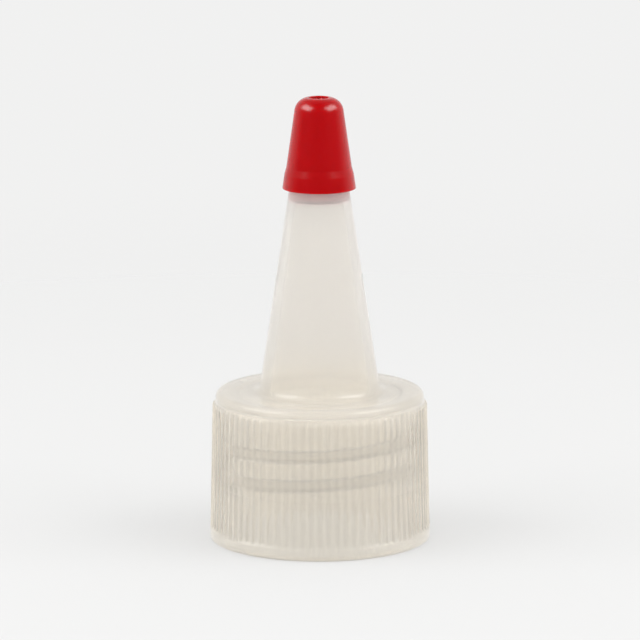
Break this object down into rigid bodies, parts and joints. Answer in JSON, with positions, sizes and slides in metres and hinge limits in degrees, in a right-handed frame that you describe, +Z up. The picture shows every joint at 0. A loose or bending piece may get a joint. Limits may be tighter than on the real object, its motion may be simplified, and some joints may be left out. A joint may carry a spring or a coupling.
{
  "type": "dispensing spout cap",
  "caption": "Translucent screw cap with ribbed skirt and long cone spout, closed by a red push-on tip; dispenses a fine stream from a squeeze bottle.",
  "frame": {"origin": "centre of the skirt's lower rim, on the surface the cap stands on", "axes": "+Z up along the cap's and spout's common axis, towards the sealing tip; the thread starts 165 degrees round from +X"},
  "size_m": [0.032, 0.032, 0.0645],
  "materials": {
    "natural_ldpe": "satin milky translucent polyethylene, uncoloured",
    "red_ldpe": "satin red polyethylene"
  },
  "bodies": {
    "cap": {"spout_cap": "natural_ldpe"},
    "tip": {"sealing_tip": "red_ldpe"}
  },
  "joints": [
    {"name": "tip_lift", "type": "slide", "parent": "cap", "child": "tip", "axis": [0, 0, 1], "range_m": [0, 0.015]}
  ]
}
